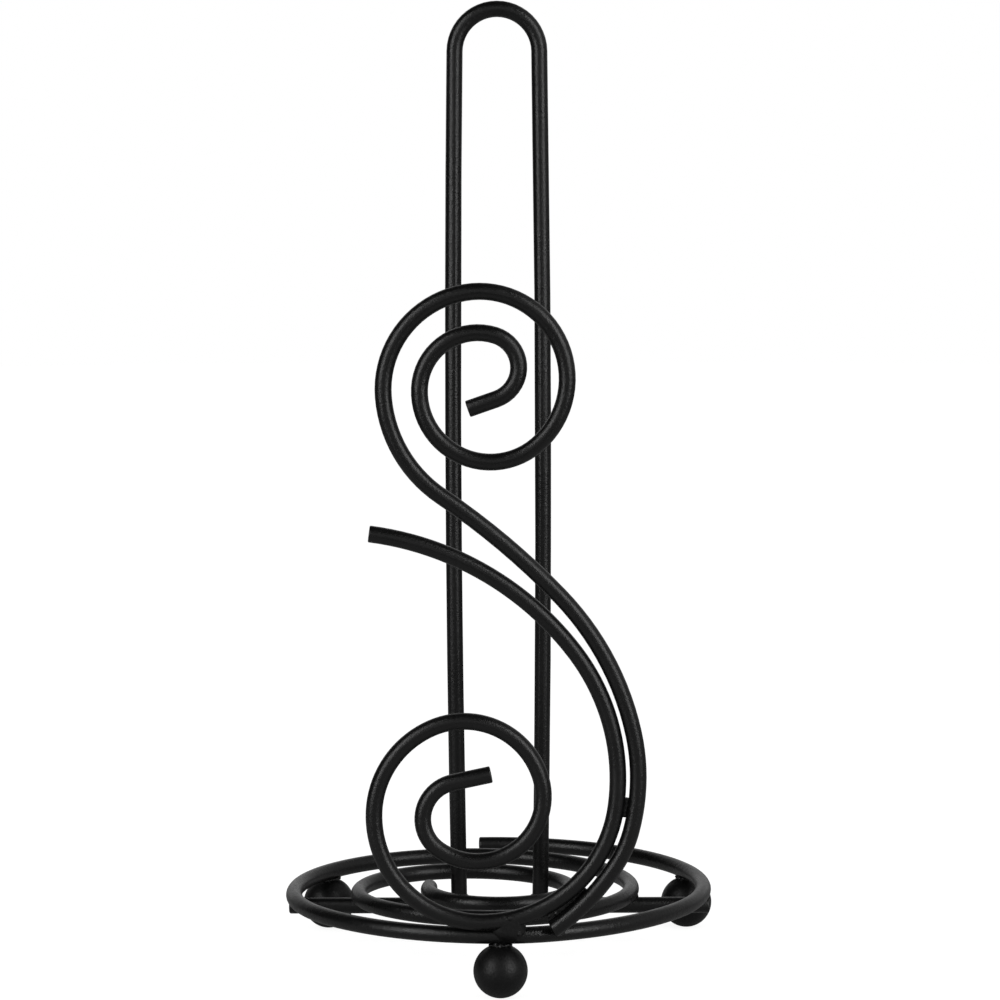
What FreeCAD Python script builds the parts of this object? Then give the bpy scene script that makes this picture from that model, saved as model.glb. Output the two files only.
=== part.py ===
"""Freestanding paper towel holder of welded round wire, powder coated.

Frame: millimetres, +Z up, the floor at z = 0, the upright over x = y = 0, and the scrolls in
front of it on the -Y side.  The wire pieces touch each other across fit_up_gap, and the weld
beads fill the corners between them.
"""
import FreeCAD, Part
import math
import os

import Sketcher

from FreeCAD import Placement, Rotation, Vector

# Every size of the stand, in millimetres and degrees.  A bend has a centreline radius and the
# angle it turns through.
SIZES = [
    ("overall_height", 355.0, "floor to the top of the upright"),
    ("wire_diameter", 6.0, "round wire of the coil, bar, upright and scrolls"),
    ("fit_up_gap", 0.1, "gap between wires that are set against each other for welding"),
    # base coil, seen from above: from the front round the right to the rear end, bend by bend
    ("coil_front_reach", 77.8, "upright axis to the coil's centreline at the front"),
    ("coil_front_right_radius", 54.4, "outer turn, front right"),
    ("coil_front_right_angle", 18.0, "outer turn, front right"),
    ("coil_right_front_radius", 88.2, "outer turn, right, front half"),
    ("coil_right_front_angle", 40.7, "outer turn, right, front half"),
    ("coil_right_rear_radius", 80.0, "outer turn, right, round to the rear end"),
    ("coil_right_rear_angle", 124.9, "outer turn, right, round to the rear end"),
    # base coil, from the front round the left and inwards, bend by bend
    ("coil_front_left_radius", 79.9, "outer turn, front left"),
    ("coil_front_left_angle", 52.3, "outer turn, front left"),
    ("coil_left_radius", 68.3, "outer turn, left"),
    ("coil_left_angle", 92.9, "outer turn, left"),
    ("coil_rear_radius", 62.4, "step in across the rear"),
    ("coil_rear_angle", 106.2, "step in across the rear"),
    ("coil_middle_radius", 52.9, "middle turn, right and front"),
    ("coil_middle_angle", 158.5, "middle turn, right and front"),
    ("coil_middle_left_radius", 39.0, "middle turn, left"),
    ("coil_middle_left_angle", 88.1, "middle turn, left"),
    ("coil_inner_rear_radius", 41.1, "step in to the inner turn"),
    ("coil_inner_rear_angle", 101.4, "step in to the inner turn"),
    ("coil_inner_radius", 26.7, "inner turn"),
    ("coil_inner_angle", 221.0, "inner turn, to its free end"),
    # cross bar and upright
    ("bar_end_reach", 2.4, "bar, past the outer turn's centreline at each end"),
    ("upright_bend_radius", 15.6, "hairpin bend at the top"),
    ("upright_bend_angle", 89.13, "hairpin bend at the top, each side"),
    ("upright_leg_radius", 9800.0, "slight outward bow of each leg"),
    ("upright_top_x", -0.65, "middle of the top, from the upright axis"),
    ("upright_foot_x", -0.25, "middle between the legs' feet, from the upright axis"),
    # ball feet under the outer turn
    ("foot_diameter", 19.5, "ball foot"),
    ("rear_right_foot_angle", 27.0, "direction from the upright axis, from +X towards +Y"),
    ("rear_left_foot_angle", 151.2, "direction from the upright axis, from +X towards +Y"),
    ("rear_right_foot_outset", 1.9, "ball centre outside the coil's centreline"),
    ("rear_left_foot_outset", 2.4, "ball centre outside the coil's centreline"),
    # low scroll: seat on the coil, arm up the right side, curl on the left
    ("low_seat_x", -6.5, "lowest point of the low scroll"),
    ("low_seat_angle", 62.0, "how far up the coil's front the low scroll sits"),
    ("low_bowl_radius", 48.0, "arm, from the seat to the right"),
    ("low_bowl_angle", 82.2, "arm, from the seat to the right"),
    ("low_belly_radius", 75.3, "arm, rising past its widest point"),
    ("low_belly_angle", 44.7, "arm, rising past its widest point"),
    ("low_arm_radius", 108.4, "arm, up to its free end"),
    ("low_arm_angle", 45.7, "arm, up to its free end"),
    ("low_curl_left_radius", 38.3, "curl, from the seat to the left"),
    ("low_curl_left_angle", 92.9, "curl, from the seat to the left"),
    ("low_curl_top_radius", 34.5, "curl, over the top"),
    ("low_curl_top_angle", 63.4, "curl, over the top"),
    ("low_curl_right_radius", 28.3, "curl, down the right"),
    ("low_curl_right_angle", 98.4, "curl, down the right"),
    ("low_curl_bottom_radius", 23.5, "curl, second time round the bottom"),
    ("low_curl_bottom_angle", 141.0, "curl, second time round the bottom"),
    ("low_curl_eye_radius", 13.5, "curl, the eye"),
    ("low_curl_eye_angle", 132.3, "curl, the eye"),
    ("low_curl_tail_length", 13.9, "curl, straight inner end"),
    # tall scroll: its tail runs beside the low scroll down to the coil, its curl is at the top
    ("belly_gap", 1.2, "gap between the two scrolls at their widest point"),
    ("belly_rise", 0.5, "how much higher the tall scroll is widest than the low one"),
    ("tall_tail_radius", 76.5, "tail, beside the low scroll"),
    ("tall_tail_angle", 15.0, "tail, beside the low scroll"),
    ("tall_heel_radius", 40.2, "tail, turning in"),
    ("tall_heel_angle", 16.7, "tail, turning in"),
    ("tall_hook_radius", 83.8, "tail, down to the coil"),
    ("tall_hook_gap", 0.5, "gap between the tail's end and the coil"),
    ("tall_belly_radius", 74.5, "arm, above the widest point"),
    ("tall_belly_angle", 12.1, "arm, above the widest point"),
    ("tall_shoulder_radius", 102.6, "arm, turning to the left"),
    ("tall_shoulder_angle", 31.6, "arm, turning to the left"),
    ("tall_arm_radius", 263.4, "arm, long shallow bend"),
    ("tall_arm_angle", 11.9, "arm, long shallow bend"),
    ("tall_neck_radius", 46.7, "curl, turning back up"),
    ("tall_neck_angle", 51.3, "curl, turning back up"),
    ("tall_curl_left_radius", 34.5, "curl, left side"),
    ("tall_curl_left_angle", 84.6, "curl, left side"),
    ("tall_curl_right_radius", 30.7, "curl, over the top and down the right"),
    ("tall_curl_right_angle", 149.0, "curl, over the top and down the right"),
    ("tall_curl_bottom_radius", 24.9, "curl, second time round the bottom"),
    ("tall_curl_bottom_angle", 133.6, "curl, second time round the bottom"),
    ("tall_curl_inner_radius", 20.4, "curl, second time over the top"),
    ("tall_curl_inner_angle", 104.8, "curl, second time over the top"),
    ("tall_curl_eye_radius", 11.8, "curl, the eye"),
    ("tall_curl_eye_angle", 143.1, "curl, the eye"),
    ("tall_curl_tail_length", 10.6, "curl, straight inner end"),
    # weld beads
    ("tie_drop", 11.5, "from the scrolls' widest point down to the weld that ties them"),
    ("tie_weld_length", 7.2, "bead between the two scrolls"),
    ("tie_weld_thickness", 3.6, "bead between the two scrolls, front to back"),
    ("seat_weld_shift", 9.8, "from the low scroll's lowest point to the middle of its bead"),
    ("seat_weld_length", 13.0, "bead between the low scroll and the coil"),
    ("seat_weld_thickness", 7.0, "bead between the low scroll and the coil"),
    ("tail_weld_diameter", 5.0, "bead between the tall scroll's tail and the coil"),
    ("tail_weld_inset", 2.6, "from the tail's end back to the middle of its bead"),
    ("bar_weld_diameter", 6.6, "bead where the coil crosses the bar"),
    ("leg_weld_diameter", 7.6, "bead round the foot of each upright leg"),
    ("leg_weld_height", 3.8, "bead round the foot of each upright leg"),
    ("foot_weld_length", 8.6, "bead between a ball and the coil, along the coil"),
    ("foot_weld_width", 7.0, "bead between a ball and the coil, across it"),
    ("foot_weld_height", 3.0, "bead between a ball and the coil"),
]
size = {alias: value for alias, value, note in SIZES}

doc = FreeCAD.newDocument("paper_towel_holder")
sheet = doc.addObject("Spreadsheet::Sheet", "Sizes")
for row, (alias, value, note) in enumerate(SIZES, start=1):
    sheet.set(f"A{row}", alias)
    sheet.set(f"B{row}", str(value))
    sheet.setAlias(f"B{row}", alias)
    sheet.set(f"C{row}", note)
doc.recompute()

# ---------------------------------------------------------------- levels worked out from the sizes
wire_radius = size["wire_diameter"] / 2
wire_pitch = size["wire_diameter"] + size["fit_up_gap"]
foot_radius = size["foot_diameter"] / 2
coil_level = size["foot_diameter"] + size["fit_up_gap"] + wire_radius
bar_level = coil_level - wire_pitch
leg_base = bar_level + wire_radius + size["fit_up_gap"]
WIRE_RADIUS = "Sizes.wire_diameter / 2"
WIRE_PITCH = "(Sizes.wire_diameter + Sizes.fit_up_gap)"
COIL_LEVEL = "(Sizes.foot_diameter + Sizes.fit_up_gap + Sizes.wire_diameter / 2)"
BAR_LEVEL = f"({COIL_LEVEL} - {WIRE_PITCH})"
LEG_BASE = f"({BAR_LEVEL} + {WIRE_RADIUS} + Sizes.fit_up_gap)"


# ------------------------------------------------------------------------------- bends in a plane
class Bend:
    """One arc or straight of a bent wire, in the plane of its sketch.  turn is +1 to the left of
    travel, -1 to the right, and 0 for a straight."""

    def __init__(self, name, start, heading, turn, radius, sweep, length=0.0):
        self.name, self.turn, self.radius = name, turn, radius
        self.start, self.heading = start, heading
        self.sweep = math.radians(sweep)
        if turn == 0:
            self.end_heading = heading
            self.end = start + Vector(math.cos(heading), math.sin(heading), 0) * length
            return
        self.end_heading = heading + turn * self.sweep
        self.centre = start + self._left(heading) * (turn * radius)
        self.end = self.centre - self._left(self.end_heading) * (turn * radius)

    @staticmethod
    def _left(heading):
        return Vector(-math.sin(heading), math.cos(heading), 0)

    def at(self, travelled):
        """The point and heading after turning through that angle, in radians."""
        heading = self.heading + self.turn * travelled
        return self.centre - self._left(heading) * (self.turn * self.radius), heading

    def where(self, test, steps=720):
        """The angles travelled, in radians, at which test(point) changes sign."""
        found = []
        last = test(self.start)
        for step in range(1, steps + 1):
            value = test(self.at(self.sweep * step / steps)[0])
            if (value < 0) != (last < 0):
                found.append(self.sweep * (step - value / (value - last)) / steps)
            last = value
        return found


def bend_run(start, heading, prefix, names, turns, tail=None):
    """Bends one after the other, each tangent to the one before, and then a straight tail."""
    bends = []
    for name, turn in zip(names, turns):
        radius = size[f"{prefix}_{name}_radius"]
        bend = Bend(f"{prefix}_{name}", start, heading, turn, radius, size[f"{prefix}_{name}_angle"])
        bends.append(bend)
        start, heading = bend.end, bend.end_heading
    if tail:
        bends.append(Bend(tail, start, heading, 0, 0, 0, size[f"{tail}_length"]))
    return bends


def meet(bends, test):
    """Points, headings and bends where test(point) changes sign along a run of bends."""
    found = []
    for bend in bends:
        if bend.turn:
            for travelled in bend.where(test):
                point, heading = bend.at(travelled)
                found.append((point, heading))
    return found


# --------------------------------------------------------------------------------- document parts
def plane_of(body, role):
    return next(item for item in body.Origin.OriginFeatures if item.Role == role)


def new_sketch(body, name, role):
    sketch = body.newObject("Sketcher::SketchObject", name)
    sketch.AttachmentSupport = (plane_of(body, role), [""])
    sketch.MapMode = "FlatFace"
    return sketch


def bind(sketch, constraint, name, expression):
    """Add a named dimension to a sketch and tie it to the sheet."""
    index = sketch.addConstraint(constraint)
    sketch.renameConstraint(index, name)
    sketch.setExpression(f"Constraints.{name}", expression)


def wire_section(body, role):
    """The round section of the wire, at the body's own origin."""
    sketch = new_sketch(body, body.Name + "_section", role)
    sketch.addGeometry(Part.Circle(Vector(), Vector(0, 0, 1), wire_radius), False)
    sketch.addConstraint(Sketcher.Constraint("Coincident", 0, 3, -1, 1))
    bind(sketch, Sketcher.Constraint("Radius", 0, wire_radius), "wire_radius", WIRE_RADIUS)
    return sketch


START, END, CENTRE = 1, 2, 3          # which point of a sketched curve a constraint takes


def sketch_bends(body, name, role, bends, first_centre):
    """A path of tangent bends from the sketch's origin.  first_centre says how the first bend's
    centre lies from that origin: Vertical or Horizontal."""
    sketch = new_sketch(body, name, role)
    last = None
    for index, bend in enumerate(bends):
        if bend.turn == 0:
            sketch.addGeometry(Part.LineSegment(bend.start, bend.end), False)
            entry, leave = START, END
        else:
            low, high = (bend.start, bend.end) if bend.turn > 0 else (bend.end, bend.start)
            first = math.atan2(low.y - bend.centre.y, low.x - bend.centre.x)
            circle = Part.Circle(bend.centre, Vector(0, 0, 1), bend.radius)
            sketch.addGeometry(Part.ArcOfCircle(circle, first, first + bend.sweep), False)
            entry, leave = (START, END) if bend.turn > 0 else (END, START)
        if last is None:
            sketch.addConstraint(Sketcher.Constraint("Coincident", index, entry, -1, 1))
            sketch.addConstraint(Sketcher.Constraint(first_centre, index, CENTRE, -1, 1))
        else:
            sketch.addConstraint(Sketcher.Constraint("Tangent", index - 1, last, index, entry))
        if bend.turn == 0:
            length = (bend.end - bend.start).Length
            bind(sketch, Sketcher.Constraint("Distance", index, length),
                 bend.name + "_length", f"Sizes.{bend.name}_length")
        else:
            bind(sketch, Sketcher.Constraint("Radius", index, bend.radius),
                 bend.name + "_radius", f"Sizes.{bend.name}_radius")
            if f"{bend.name}_angle" in size:
                bind(sketch, Sketcher.Constraint("Angle", index, bend.sweep),
                     bend.name + "_angle", f"Sizes.{bend.name}_angle * 1 deg")
        last = leave
    return sketch


def pipe(body, name, section, path):
    run = body.newObject("PartDesign::AdditivePipe", name)
    run.Profile = section
    run.Spine = (path, [f"Edge{index + 1}" for index in range(path.GeometryCount)])
    body.Tip = run
    doc.recompute()
    return run


def new_body(name):
    body = doc.addObject("PartDesign::Body", name)
    body.Label = name
    return body


def place(obj, position, expressions=(), turned=Rotation()):
    """Put an object at a position.  expressions ties those coordinates to the sheet."""
    obj.Placement = Placement(position, turned)
    for axis, expression in expressions:
        obj.setExpression(f"Placement.Base.{axis}", expression)


# ------------------------------------------------------------------------------------- base coil
coil_start = Vector(0, -size["coil_front_reach"], 0)
coil_rim = bend_run(coil_start, 0.0, "coil", ["front_right", "right_front", "right_rear"], [1] * 3)
coil_inward = bend_run(
    coil_start, math.pi, "coil",
    ["front_left", "left", "rear", "middle", "middle_left", "inner_rear", "inner"], [-1] * 7)
# Where the coil's centreline crosses over the bar.
crossings = [point for point, heading in meet(coil_rim + coil_inward, lambda p: p.y)]


def coil_at_angle(degrees):
    """The outer turn's centreline point in that direction from the upright axis."""
    ray = Vector(math.cos(math.radians(degrees)), math.sin(math.radians(degrees)), 0)

    def side(point):
        return ray.x * point.y - ray.y * point.x

    for point, heading in meet(coil_rim + coil_inward, side):
        if point.dot(ray) > 0:
            return point
    raise ValueError(f"the outer turn has no point at {degrees} degrees")


def coil_at_x(x):
    """The front of the outer turn at that x."""
    points = [point for point, heading in meet(coil_rim + coil_inward[:1], lambda p: p.x - x)]
    return min(points, key=lambda point: point.y)


def make_base_coil():
    body = new_body("base_coil")
    section = wire_section(body, "YZ_Plane")
    for name, bends in (("coil_rim_path", coil_rim), ("coil_inward_path", coil_inward)):
        moved = [shifted(bend, coil_start) for bend in bends]
        path = sketch_bends(body, name, "XY_Plane", moved, "Vertical")
        pipe(body, name.replace("path", "run"), section, path)
    place(body, coil_start + Vector(0, 0, coil_level),
          [("y", "-Sizes.coil_front_reach"), ("z", COIL_LEVEL)])
    return body


def shifted(bend, origin):
    """The same bend, measured from another origin."""
    moved = Bend(bend.name, bend.start - origin, bend.heading, bend.turn, bend.radius,
                 math.degrees(bend.sweep), (bend.end - bend.start).Length)
    return moved


# -------------------------------------------------------------------------- cross bar and upright
def make_cross_bar():
    body = new_body("cross_bar")
    section = wire_section(body, "YZ_Plane")
    bar = body.newObject("PartDesign::Pad", "bar")
    bar.Profile = section
    bar.SideType = "Two sides"
    for prop, far in (("Length", max(point.x for point in crossings)),
                      ("Length2", -min(point.x for point in crossings))):
        setattr(bar, prop, far + size["bar_end_reach"])
        bar.setExpression(prop, f"{far:.4f} + Sizes.bar_end_reach")
    place(body, Vector(0, 0, bar_level), [("z", BAR_LEVEL)])
    return body


def leg_bends(side):
    """One side of the hairpin, from the middle of its top down to the bar."""
    heading, turn = (0.0, -1) if side == "right" else (math.pi, 1)
    bends = bend_run(Vector(), heading, "upright", ["bend"], [turn])
    drop = size["overall_height"] - wire_radius - leg_base
    leg = Bend("upright_leg", bends[0].end, bends[0].end_heading, turn, size["upright_leg_radius"], 5)
    down = leg.where(lambda point: point.y + drop)[0]
    return bends + [Bend(leg.name, leg.start, leg.heading, turn, leg.radius, math.degrees(down))]


def make_upright_loop():
    """A hairpin: two legs with a slight outward bow, tangent to the bend at the top."""
    body = new_body("upright_loop")
    section = wire_section(body, "YZ_Plane")
    drop = f"Sizes.overall_height - {WIRE_RADIUS} - {LEG_BASE}"
    for side in ("right", "left"):
        bends = leg_bends(side)
        path = sketch_bends(body, f"upright_{side}_path", "XZ_Plane", bends, "Vertical")
        foot = (1, END if side == "left" else START)
        bind(path, Sketcher.Constraint("DistanceY", *foot, -1, 1, -bends[-1].end.y), "drop", drop)
        pipe(body, f"upright_{side}_run", section, path)
    lean = (size["upright_foot_x"] - size["upright_top_x"]) / (size["overall_height"] - leg_base)
    place(body, Vector(size["upright_top_x"], 0, size["overall_height"] - wire_radius),
          [("x", "Sizes.upright_top_x"), ("z", f"Sizes.overall_height - {WIRE_RADIUS}")],
          Rotation(Vector(0, -1, 0), math.degrees(math.atan(lean))))
    body.setExpression("Placement.Rotation.Angle", "atan((Sizes.upright_foot_x - Sizes.upright_top_x) / "
                       f"(Sizes.overall_height - {LEG_BASE}))")
    return body


# ---------------------------------------------------------------------------------------- scrolls
# Both scrolls stand in one upright plane, in front of the coil.  In it, a path's second
# coordinate is the height.
low_seat = coil_at_x(size["low_seat_x"])
seat_angle = math.radians(size["low_seat_angle"])
scroll_plane = low_seat.y - wire_pitch * math.cos(seat_angle)
low_start = Vector(size["low_seat_x"], coil_level + wire_pitch * math.sin(seat_angle), 0)
low_arm = bend_run(low_start, 0.0, "low", ["bowl", "belly", "arm"], [1, 1, 1])
low_curl = bend_run(low_start, math.pi, "low",
                    ["curl_left", "curl_top", "curl_right", "curl_bottom", "curl_eye"],
                    [-1] * 5, "low_curl_tail")
widest = max((bend.at(min(max(math.pi / 2 - bend.heading, 0.0), bend.sweep))[0] for bend in low_arm),
             key=lambda point: point.x)
tall_start = widest + Vector(size["wire_diameter"] + size["belly_gap"], size["belly_rise"], 0)
tall_arm = bend_run(
    tall_start, math.pi / 2, "tall",
    ["belly", "shoulder", "arm", "neck", "curl_left", "curl_right", "curl_bottom", "curl_inner",
     "curl_eye"],
    [1, 1, 1] + [-1] * 6, "tall_curl_tail")


def on_coil_height(x):
    """How high the tall scroll's centreline is where it lies against the front of the coil."""
    ahead = coil_at_x(x).y - scroll_plane
    pitch = size["wire_diameter"] + size["tall_hook_gap"]
    return coil_level + math.sqrt(max(pitch ** 2 - ahead ** 2, 0.0))


tall_tail = bend_run(tall_start, -math.pi / 2, "tall", ["tail", "heel"], [-1] * 2)
# The last bend of the tail turns until the wire lies on the coil.
hook = Bend("tall_hook", tall_tail[1].end, tall_tail[1].end_heading, -1, size["tall_hook_radius"], 45)
landed = hook.where(lambda point: point.y - on_coil_height(point.x))[0]
tall_tail.append(Bend(hook.name, hook.start, hook.heading, -1, hook.radius, math.degrees(landed)))


def make_scroll(name, start, runs, section_role, first_centre):
    body = new_body(name)
    section = wire_section(body, section_role)
    for run_name, bends in runs:
        moved = [shifted(bend, start) for bend in bends]
        path = sketch_bends(body, f"{name}_{run_name}_path", "XZ_Plane", moved, first_centre)
        if run_name == "tail":
            drop = -moved[-1].end.y
            path.addConstraint(Sketcher.Constraint("DistanceY", len(moved) - 1, START, -1, 1, drop))
        pipe(body, f"{name}_{run_name}_run", section, path)
    place(body, Vector(start.x, scroll_plane, start.y))
    return body


# ----------------------------------------------------------------------------------------- feet
# Each foot: where the coil rests on it, and how far outside that its ball stands.
FEET = {"front_foot": (coil_start, Vector())}
for side in ("rear_right", "rear_left"):
    rest = coil_at_angle(size[f"{side}_foot_angle"])
    FEET[f"{side}_foot"] = (rest, Vector(rest).normalize() * size[f"{side}_foot_outset"])


def make_foot(name, centre):
    ball = doc.addObject("Part::Sphere", name)
    ball.Label = name
    ball.Radius = foot_radius
    ball.setExpression("Radius", "Sizes.foot_diameter / 2")
    place(ball, centre, [("z", "Sizes.foot_diameter / 2")])
    return ball


# ------------------------------------------------------------------------------------- weld beads
def bead(name, kind, centre, halves, turned=Rotation()):
    """A rounded lump of weld.  halves pairs each radius with the size it is half of."""
    lump = doc.addObject(kind, name)
    for prop, alias in halves:
        setattr(lump, prop, size[alias] / 2)
        lump.setExpression(prop, f"Sizes.{alias} / 2")
    lump.Placement = Placement(centre, turned)
    return lump


def flat_bead(name, centre, length, width, height, heading=0.0):
    """A bead lying between a piece above it and one below, its length along the heading."""
    return bead(name, "Part::Ellipsoid", centre,
                [("Radius1", height), ("Radius2", length), ("Radius3", width)],
                Rotation(Vector(0, 0, 1), heading))


def make_welds(name, beads, wires):
    """Beads with the wires they lie against cut out of them."""
    lumps = doc.addObject("Part::Compound", name + "_lumps")
    lumps.Links = beads
    metal = doc.addObject("Part::Compound", name + "_metal")
    metal.Links = wires
    welds = doc.addObject("Part::Cut", name)
    welds.Label = name
    welds.Base = lumps
    welds.Tool = metal
    return welds


def make_all():
    coil = make_base_coil()
    bar = make_cross_bar()
    upright = make_upright_loop()
    low = make_scroll("low_scroll", low_start, [("arm", low_arm), ("curl", low_curl)],
                      "YZ_Plane", "Vertical")
    tall = make_scroll("tall_scroll", tall_start, [("arm", tall_arm), ("tail", tall_tail)],
                       "XY_Plane", "Horizontal")
    feet = [make_foot(name, rest + outset + Vector(0, 0, foot_radius))
            for name, (rest, outset) in FEET.items()]
    pieces = [coil, bar, upright, low, tall] + feet

    middle = bar_level + wire_pitch / 2
    bar_beads = [bead(f"bar_bead_{number}", "Part::Sphere", point + Vector(0, 0, middle),
                      [("Radius", "bar_weld_diameter")])
                 for number, point in enumerate(crossings, start=1)]
    pieces.append(make_welds("bar_welds", bar_beads, [coil, bar]))

    leg_beads = []
    for side in ("left", "right"):
        leg = Vector(size["upright_foot_x"] + leg_bends(side)[-1].end.x, 0, leg_base)
        leg_beads.append(flat_bead(f"{side}_leg_bead", leg, "leg_weld_diameter", "leg_weld_diameter",
                                   "leg_weld_height"))
    pieces.append(make_welds("leg_welds", leg_beads, [upright, bar]))

    foot_beads = []
    for name, (rest, outset) in FEET.items():
        top = rest + outset * 0.5 + Vector(0, 0, size["foot_diameter"])
        along_coil = math.degrees(math.atan2(rest.x, -rest.y))
        foot_beads.append(flat_bead(f"{name}_bead", top, "foot_weld_length", "foot_weld_width",
                                    "foot_weld_height", along_coil))
    pieces.append(make_welds("foot_welds", foot_beads, [coil, low] + feet))

    seat_x = size["low_seat_x"] + size["seat_weld_shift"]
    along_bowl = math.asin(size["seat_weld_shift"] / size["low_bowl_radius"])
    seat = Vector(seat_x, (coil_at_x(seat_x).y + scroll_plane) / 2,
                  (coil_level + low_arm[0].at(along_bowl)[0].y) / 2)
    seat_bead = bead("seat_bead", "Part::Ellipsoid", seat,
                     [("Radius1", "seat_weld_thickness"), ("Radius2", "seat_weld_length"),
                      ("Radius3", "seat_weld_thickness")],
                     Rotation(Vector(-1, 0, 0), size["low_seat_angle"]))
    pieces.append(make_welds("seat_weld", [seat_bead], [coil, low, feet[0]]))

    last = tall_tail[-1]
    on_tail = last.at(last.sweep - size["tail_weld_inset"] / last.radius)[0]
    tail = Vector(on_tail.x, (coil_at_x(on_tail.x).y + scroll_plane) / 2, (coil_level + on_tail.y) / 2)
    tail_bead = bead("tail_bead", "Part::Sphere", tail, [("Radius", "tail_weld_diameter")],
                     Rotation(Vector(1, 0, 0), 90))
    pieces.append(make_welds("tail_weld", [tail_bead], [coil, tall, low]))

    dropped = math.asin(size["tie_drop"] / size["tall_tail_radius"])
    beside = tall_tail[0].at(dropped)[0]
    towards_low = Vector(-math.cos(dropped), math.sin(dropped), 0)
    tie = beside + towards_low * ((size["wire_diameter"] + size["belly_gap"]) / 2)
    along = Vector(math.sin(dropped), 0, math.cos(dropped))
    plug_end = Vector(tie.x, scroll_plane, tie.y) - along * (size["tie_weld_length"] / 2)
    plug = bead("tie_bead", "Part::Cylinder", plug_end, [("Radius", "tie_weld_thickness")],
                Rotation(Vector(0, 0, 1), along))
    plug.Height = size["tie_weld_length"]
    plug.setExpression("Height", "Sizes.tie_weld_length")
    pieces.append(make_welds("tie_weld", [plug], [low, tall]))
    return pieces


pieces = make_all()
doc.recompute()

# ------------------------------------------------------------------------------ checks and export
broken = [obj.Name for obj in doc.Objects if {"Invalid", "Error"} & set(obj.State)]
if broken:
    raise RuntimeError(f"objects that failed to build: {broken}")
for piece in pieces:
    if piece.Shape.isNull() or not piece.Shape.isValid() or not piece.Shape.Solids:
        raise RuntimeError(f"{piece.Label} has no valid solid")

os.makedirs("parts", exist_ok=True)
for piece in pieces:
    piece.Shape.exportStep(f"parts/{piece.Label}.step")
    print(f"{piece.Label}: {len(piece.Shape.Solids)} solid(s), {piece.Shape.Volume:.1f} mm3")
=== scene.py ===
"""Paper towel holder: welded round wire under one coat of black powder.  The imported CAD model
carries every wire and ball; this script gives them their coat, melts their cut ends round,
replaces the plain weld beads with lumpy ones, and sets up a plain white studio."""
import math
import random

import bmesh
import bpy
from mathutils import Matrix, Vector, noise


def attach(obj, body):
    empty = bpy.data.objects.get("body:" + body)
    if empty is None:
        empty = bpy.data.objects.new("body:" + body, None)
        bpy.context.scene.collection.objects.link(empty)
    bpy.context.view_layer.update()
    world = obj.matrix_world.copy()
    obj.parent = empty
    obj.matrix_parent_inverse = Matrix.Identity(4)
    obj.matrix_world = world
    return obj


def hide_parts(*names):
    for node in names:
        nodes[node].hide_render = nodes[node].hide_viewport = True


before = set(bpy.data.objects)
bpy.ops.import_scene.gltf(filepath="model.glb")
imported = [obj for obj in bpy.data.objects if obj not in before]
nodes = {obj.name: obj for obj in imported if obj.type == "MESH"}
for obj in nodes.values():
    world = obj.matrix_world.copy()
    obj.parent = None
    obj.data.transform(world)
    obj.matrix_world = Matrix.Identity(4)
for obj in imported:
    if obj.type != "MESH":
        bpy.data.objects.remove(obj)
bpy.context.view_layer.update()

MM = 0.001
CM2_IN_M2 = 1e4
# the CAD meshes repeat the vertices along their seams: those closer than this are one, in metres
SEAM = 1e-6
# each wire, and how far the rims of its flat ends are melted round, in millimetres
WIRES = {"base_coil": 0.7, "cross_bar": 0.8, "upright_loop": 0.4, "low_scroll": 0.4,
         "tall_scroll": 0.4}
# faces that meet at less than the first angle are one flat face, and edges that turn by more than
# the second are rims, in degrees
FLAT, RIM = 0.3, 55
FEET = ("front_foot", "rear_right_foot", "rear_left_foot")
# each weld: lumps per square centimetre, their least and greatest radius, the height of its
# ripple, how many times as large its beads are made along each axis, and how far they are
# shifted; lengths are in millimetres
WELDS = (
    ("bar_welds", 10, (0.35, 0.65), 0.12, (0.85, 0.85, 0.9), (0, 0, 0)),
    ("leg_welds", 14, (0.4, 0.8), 0.12, (1, 1, 1), (0, 0, 0)),
    ("foot_welds", 30, (0.5, 1.1), 0.3, (0.93, 0.93, 0.85), (0, 0, -0.2)),
    ("seat_weld", 3, (0.8, 1.2), 0.04, (0.95, 1.1, 1.3), (-0.3, -0.2, -0.2)),
    ("tail_weld", 14, (0.4, 0.8), 0.12, (1, 1, 1), (0, 0, 0)),
    ("tie_weld", 20, (0.3, 0.55), 0.15, (0.95, 0.95, 0.95), (0, 1.1, 0)),
)
# welds whose metal is dull
DULL_WELDS = ("seat_weld", "tie_weld")
# a web is a bead that runs flush over the skin of the wires it joins, up to this far from its
# middle along each axis, in millimetres
WEBS = {"seat_weld": ("low_scroll", "base_coil")}
WEB_REACH = (4.2, 6.5, 4.7)
# a run is metal that fills the gap between two wires: up to its length from the low end of the
# second, and where their skins are less than its gap apart, in millimetres
RUNS = {"tail_weld": ("low_scroll", "tall_scroll")}
RUN_LENGTH, RUN_GAP = 20.5, 3.2
# how deep a lump's middle lies under the bead's skin, as a share of its radius
SUNK = (0.1, 0.6)
# the voxels that melt the lumps together, and the ripples over them, in millimetres
VOXEL, RIPPLE, FINE_RIPPLE = 0.22, 1.1, 0.45
# the coat's colours, between its grains and on them
COAT_DARK = (0.0005, 0.0005, 0.00052, 1)
COAT_PALE = (0.004, 0.004, 0.00408, 1)
# each softbox: how far it stands from the post and how high, in metres, how far to the side of the
# front, in degrees, then its width and height in metres, and its radiance
BOX_AWAY, BOX_HIGH, BOX_SIDE = 1.2, 0.72, 45
BOX_WIDTH, BOX_HEIGHT, BOX_LEVEL = 0.46, 1.3, 3.8
# weak cards that only gloss shows, one over the camera and a wider one high on the right: the way
# to each, the cosines of the angles off it where the card ends and where it is full, and its light
CARDS = (((0, -0.966, 0.259), 0.88, 0.99, 0.42),
         ((0.85, 0.15, 0.50), 0.62, 0.95, 0.30))
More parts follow.
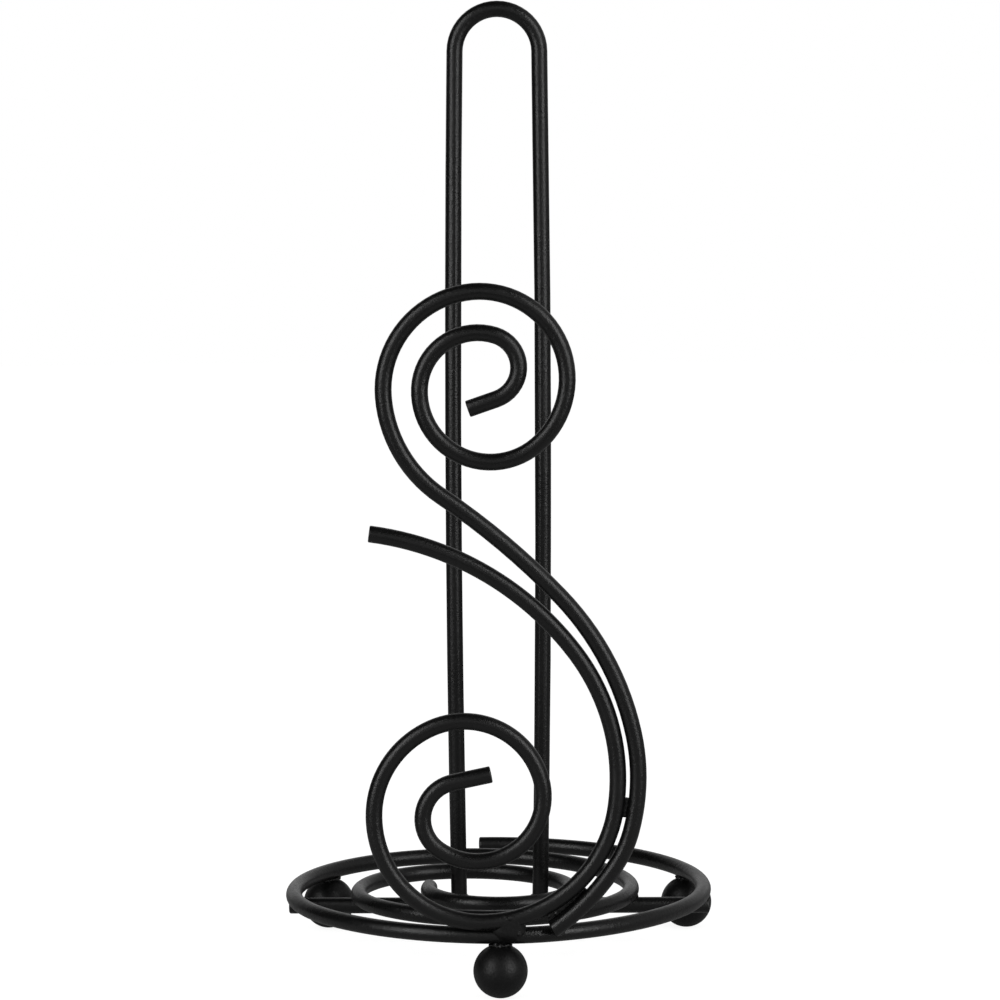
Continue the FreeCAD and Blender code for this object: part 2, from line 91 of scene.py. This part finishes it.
# the floor: its radius, and how far from the post it starts and ends its fade to white, in metres
FLOOR_RADIUS, FADE_START, FADE_END = 3.0, 0.2, 0.8
# the camera: its place in metres, its tilt down and its roll in radians, its lens and the width of
# its sensor in millimetres
CAMERA_PLACE = (0.00016, -1.4030, 0.32555)
CAMERA_DOWN, CAMERA_ROLL = 0.11019, -0.00214
CAMERA_LENS, CAMERA_SENSOR = 136.27, 36


# --------------------------------------------------------------------------------- node helpers
class Shading:
    """Short calls for building one node tree."""

    def __init__(self, tree):
        self.tree = tree
        tree.nodes.clear()

    def add(self, kind, inputs=(), **settings):
        node = self.tree.nodes.new(kind)
        for name, value in settings.items():
            setattr(node, name, value)
        for socket, value in dict(inputs).items():
            self.feed(node, socket, value)
        return node

    def feed(self, node, socket, value):
        if isinstance(value, bpy.types.NodeSocket):
            self.tree.links.new(value, node.inputs[socket])
        else:
            node.inputs[socket].default_value = value

    def math(self, operation, *values):
        node = self.add("ShaderNodeMath", operation=operation)
        for index, value in enumerate(values):
            self.feed(node, index, value)
        return node.outputs[0]

    def noise(self, place, size, detail=2.0, roughness=0.5):
        """Noise whose lumps are about that size, in metres."""
        node = self.add("ShaderNodeTexNoise", {"Vector": place, "Scale": 1 / size,
                                               "Detail": detail, "Roughness": roughness})
        return node.outputs["Fac"]

    def spread(self, value, low, high, to_low=0.0, to_high=1.0):
        node = self.add("ShaderNodeMapRange",
                        {"Value": value, "From Min": low, "From Max": high,
                         "To Min": to_low, "To Max": to_high})
        return node.outputs["Result"]

    def tint(self, factor, first, second):
        node = self.add("ShaderNodeMix", data_type="RGBA")
        for socket, value in (("Factor_Float", factor), ("A_Color", first), ("B_Color", second)):
            target = next(item for item in node.inputs if item.identifier == socket)
            if isinstance(value, bpy.types.NodeSocket):
                self.tree.links.new(value, target)
            else:
                target.default_value = value
        return next(item for item in node.outputs if item.identifier == "Result_Color")


def grey(level):
    return (level, level, level, 1.0)


# ------------------------------------------------------------------------------------ materials
def powder_coat(material, grain=1.0, shine=0.5, rough=(0.27, 0.38)):
    """Black powder baked on: near black, grains of powder over a soft orange peel."""
    material.use_nodes = True
    shade = Shading(material.node_tree)
    place = shade.add("ShaderNodeTexCoord").outputs["Object"]
    specks = shade.noise(place, 0.5 * MM, detail=2.0, roughness=0.65)
    grains = shade.noise(place, 1.1 * MM, detail=3.0, roughness=0.7)
    clouds = shade.noise(place, 14 * MM, detail=2.0)
    peel = shade.noise(place, 4.5 * MM, detail=1.0)
    mottle = shade.math("ADD", shade.spread(grains, 0.40, 0.62, 0.0, 0.8),
                        shade.spread(clouds, 0.3, 0.7, 0.0, 0.2))
    colour = shade.tint(mottle, COAT_DARK, COAT_PALE)
    gloss = shade.spread(shade.math("ADD", grains, shade.math("MULTIPLY", clouds, 0.6)),
                         0.65, 0.95, rough[1], rough[0])
    fine = shade.add("ShaderNodeBump", {"Strength": 0.8, "Distance": 0.03 * MM * grain,
                                        "Height": specks})
    pebbles = shade.add("ShaderNodeBump", {"Strength": 0.8, "Distance": 0.19 * MM * grain,
                                           "Height": grains, "Normal": fine.outputs["Normal"]})
    skin = shade.add("ShaderNodeBump", {"Strength": 0.6, "Distance": 0.1 * MM * grain,
                                        "Height": peel, "Normal": pebbles.outputs["Normal"]})
    coat = shade.add("ShaderNodeBsdfPrincipled",
                     {"Base Color": colour, "Roughness": gloss, "Normal": skin.outputs["Normal"],
                      "IOR": 1.5, "Specular IOR Level": shine, "Metallic": 0.0})
    out = shade.add("ShaderNodeOutputMaterial")
    shade.tree.links.new(coat.outputs["BSDF"], out.inputs["Surface"])
    return material


def seen(shade, glossy=1.0):
    """1 for the rays that show the background, from the camera or through glass, and how much
    of it those off gloss see."""
    path = shade.add("ShaderNodeLightPath")
    mirrored = shade.math("MULTIPLY", path.outputs["Is Glossy Ray"], glossy)
    shown = shade.math("MAXIMUM", path.outputs["Is Camera Ray"], mirrored)
    return shade.math("MAXIMUM", shown, path.outputs["Is Transmission Ray"])


def floor_paint():
    """White paper.  Near the object it is only lit, so the shadow stays; further out it fades
    into the white of the background."""
    material = bpy.data.materials.new("floor_paper")
    material.use_nodes = True
    shade = Shading(material.node_tree)
    place = shade.add("ShaderNodeTexCoord").outputs["Object"]
    fibre = shade.noise(place, 3 * MM, detail=3.0)
    away = shade.add("ShaderNodeVectorMath", {0: place}, operation="LENGTH").outputs["Value"]
    far = shade.add("ShaderNodeMapRange",
                    {"Value": away, "From Min": FADE_START, "From Max": FADE_END},
                    interpolation_type="SMOOTHSTEP").outputs["Result"]
    near = shade.tint(fibre, grey(0.30), grey(0.33))
    paper = shade.add("ShaderNodeBsdfDiffuse", {"Color": shade.tint(far, near, grey(0.05))})
    level = shade.spread(far, 0.0, 1.0, 0.89, 1.0)
    white = shade.add("ShaderNodeEmission", {
        "Color": grey(1.0), "Strength": shade.math("MULTIPLY", level, seen(shade, 0.05))})
    mix = shade.add("ShaderNodeAddShader", {0: paper.outputs[0], 1: white.outputs[0]})
    out = shade.add("ShaderNodeOutputMaterial")
    shade.tree.links.new(mix.outputs[0], out.inputs["Surface"])
    return material


# ---------------------------------------------------------------------------------------- pieces
def dress_node(name, material, end_round=0.0):
    """Give a CAD node its coat, close its seams and melt the rims of its flat ends round."""
    node = nodes[name]
    for place in node.material_slots:
        place.material = material
    seams = node.modifiers.new("seams", "WELD")
    seams.merge_threshold = SEAM
    if end_round:
        ends = node.modifiers.new("ends", "DECIMATE")
        ends.decimate_type = "DISSOLVE"
        ends.angle_limit = math.radians(FLAT)
        rim = node.modifiers.new("rim", "BEVEL")
        rim.width = end_round
        rim.segments = 4
        rim.use_clamp_overlap = False
        rim.limit_method = "ANGLE"
        rim.angle_limit = math.radians(RIM)


def hull(core, spots):
    """Add the convex hull of some places to core."""
    points = [core.verts.new(spot) for spot in spots]
    bmesh.ops.convex_hull(core, input=points, use_existing_faces=False)
    inside = [point for point in points if not point.link_faces]
    bmesh.ops.delete(core, geom=inside, context="VERTS")


def wire_skin(wire):
    """The places of the vertices of a wire's surface."""
    return [vert.co for vert in nodes[wire].data.vertices]


def bead_cores(name, core, grow, shift):
    """Add each bead of a weld node to core, with the channels of its wires filled in, resized
    about its own middle and shifted.  A web also takes in the skin of its wires."""
    shell = bmesh.new()
    shell.from_mesh(nodes[name].data)
    bmesh.ops.remove_doubles(shell, verts=shell.verts, dist=SEAM)
    shell.verts.ensure_lookup_table()
    shell.verts.index_update()
    known = [False] * len(shell.verts)
    for first in shell.verts:
        if known[first.index]:
            continue
        known[first.index] = True
        bead = [first]
        for vert in bead:
            for edge in vert.link_edges:
                other = edge.other_vert(vert)
                if not known[other.index]:
                    known[other.index] = True
                    bead.append(other)
        middle = sum((vert.co for vert in bead), Vector()) / len(bead)
        spots = [middle + (vert.co - middle) * grow + shift for vert in bead]
        for wire in WEBS.get(name, ()):
            spots += [spot for spot in wire_skin(wire)
                      if all(abs(away) < reach * MM
                             for away, reach in zip(spot - middle, WEB_REACH))]
        hull(core, spots)
    shell.free()


def bead_run(core, wires):
    """Add to core the metal that fills the gap between two wires, behind the second's low end."""
    end = min(wire_skin(wires[1]), key=lambda spot: spot.z)
    near = [[spot for spot in wire_skin(wire)
             if spot.y > end.y and (spot - end).length < RUN_LENGTH * MM] for wire in wires]
    hull(core, [spot for side, across in (near, near[::-1]) for spot in side
                if min((spot - other).length for other in across) < RUN_GAP * MM])


def weld_beads(name, material, lumps, lump_size, ripple, grow, shift, seed):
    """The beads of a weld node as run metal: lumps thrown over them, melted together, and a ripple
    over the whole."""
    metal = bmesh.new()
    bead_cores(name, metal, Vector(grow), Vector(shift) * MM)
    if name in RUNS:
        bead_run(metal, RUNS[name])
    bmesh.ops.recalc_face_normals(metal, faces=metal.faces)
    draw = random.Random(seed)
    faces = list(metal.faces)
    areas = [face.calc_area() for face in faces]
    for face in draw.choices(faces, areas, k=round(lumps * sum(areas) * CM2_IN_M2)):
        radius = draw.uniform(*lump_size) * MM
        centre = face.calc_center_median() - face.normal * radius * draw.uniform(*SUNK)
        bmesh.ops.create_icosphere(metal, subdivisions=2, radius=radius,
                                   matrix=Matrix.Translation(centre))
    piece = bpy.data.objects.new(name + "_beads", bpy.data.meshes.new(name + "_beads"))
    metal.to_mesh(piece.data)
    metal.free()
    bpy.context.scene.collection.objects.link(piece)
    melt = piece.modifiers.new("melt", "REMESH")
    melt.mode = "VOXEL"
    melt.voxel_size = VOXEL * MM
    flow = piece.modifiers.new("flow", "SMOOTH")
    flow.factor = 0.5
    flow.iterations = 3
    depsgraph = bpy.context.evaluated_depsgraph_get()
    run = bpy.data.meshes.new_from_object(piece.evaluated_get(depsgraph))
    piece.modifiers.clear()
    piece.data = run
    normals = [vert.normal.copy() for vert in run.vertices]
    for vert, normal in zip(run.vertices, normals):
        wave = (noise.noise(vert.co / (RIPPLE * MM))
                + 0.5 * noise.noise(vert.co / (FINE_RIPPLE * MM)))
        vert.co += normal * ripple * MM * wave
    run.shade_smooth()
    run.materials.clear()
    run.materials.append(material)
    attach(piece, "root")
    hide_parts(name)


def studio():
    """Two tall softboxes at the sides, weak cards, a white background and a sheet of white paper."""
    world = bpy.data.worlds.new("studio")
    bpy.context.scene.world = world
    world.use_nodes = True
    shade = Shading(world.node_tree)
    way = shade.add("ShaderNodeTexCoord").outputs["Generated"]
    ahead = shade.add("ShaderNodeSeparateXYZ", {0: way}).outputs["Y"]
    backdrop = shade.spread(ahead, 0.6, 0.95, 0.012, 0.6)
    for towards, edge, middle, level in CARDS:
        facing = shade.add("ShaderNodeVectorMath", {0: way, 1: towards}, operation="DOT_PRODUCT")
        card = shade.spread(facing.outputs["Value"], edge, middle, 0.0, level)
        backdrop = shade.math("ADD", backdrop, card)
    path = shade.add("ShaderNodeLightPath")
    fill = shade.add("ShaderNodeBackground", {"Color": grey(1.0), "Strength": 0.40})
    room = shade.add("ShaderNodeBackground", {"Color": grey(1.0), "Strength": backdrop})
    white = shade.add("ShaderNodeBackground", {"Color": grey(1.0), "Strength": 1.0})
    shiny = shade.add("ShaderNodeMixShader", {0: seen(shade), 1: fill.outputs[0],
                                              2: room.outputs[0]})
    all_round = shade.add("ShaderNodeMixShader", {0: path.outputs["Is Camera Ray"],
                                                  1: shiny.outputs[0], 2: white.outputs[0]})
    out = shade.add("ShaderNodeOutputWorld")
    shade.tree.links.new(all_round.outputs[0], out.inputs["Surface"])

    for name, side in (("left", -1), ("right", 1)):
        lamp = bpy.data.lights.new(f"softbox_{name}", "AREA")
        lamp.shape = "RECTANGLE"
        lamp.size, lamp.size_y = BOX_WIDTH, BOX_HEIGHT
        lamp.energy = BOX_LEVEL * math.pi * lamp.size * lamp.size_y
        box = bpy.data.objects.new(lamp.name, lamp)
        turn = math.radians(BOX_SIDE) * side
        box.location = Vector((BOX_AWAY * math.sin(turn), -BOX_AWAY * math.cos(turn), BOX_HIGH))
        away = box.location - Vector((0, 0, box.location.z))
        box.rotation_euler = away.to_track_quat("Z", "Y").to_euler()
        bpy.context.scene.collection.objects.link(box)

    bpy.ops.mesh.primitive_circle_add(vertices=96, radius=FLOOR_RADIUS, fill_type="NGON")
    floor = bpy.context.object
    floor.name = "floor"
    floor.data.materials.append(floor_paint())


def photo_camera():
    """A little under the top of the post, 1.4 m in front of it, looking slightly down."""
    right = Vector((1, 0, 0))
    ahead = Vector((0, math.cos(CAMERA_DOWN), -math.sin(CAMERA_DOWN)))
    up = right.cross(ahead)
    cosine, sine = math.cos(CAMERA_ROLL), math.sin(CAMERA_ROLL)
    right, up = cosine * right + sine * up, cosine * up - sine * right
    data = bpy.data.cameras.new("camera")
    data.lens, data.sensor_width = CAMERA_LENS, CAMERA_SENSOR
    data.clip_start, data.clip_end = 0.05, 50
    camera = bpy.data.objects.new("camera", data)
    turn = Matrix((right, up, -ahead)).transposed().to_4x4()
    camera.matrix_world = Matrix.Translation(CAMERA_PLACE) @ turn
    bpy.context.scene.collection.objects.link(camera)
    bpy.context.scene.camera = camera


photo_camera()
studio()
coat = powder_coat(bpy.data.materials.new("black_powder_coat"))
foot_coat = powder_coat(bpy.data.materials.new("black_powder_coat_feet"), shine=0.36,
                        rough=(0.36, 0.46))
weld_coat = powder_coat(bpy.data.materials.new("black_powder_coat_welds"), grain=1.3)
dull_coat = powder_coat(bpy.data.materials.new("black_powder_coat_dull"), shine=0.42,
                        rough=(0.45, 0.60))
for name, end_round in WIRES.items():
    dress_node(name, coat, end_round * MM)
for name in FEET:
    dress_node(name, foot_coat)
for seed, (name, *manner) in enumerate(WELDS):
    material = dull_coat if name in DULL_WELDS else weld_coat
    dress_node(name, material)
    weld_beads(name, material, *manner, seed)

view = bpy.context.scene.view_settings
view.view_transform = "Standard"
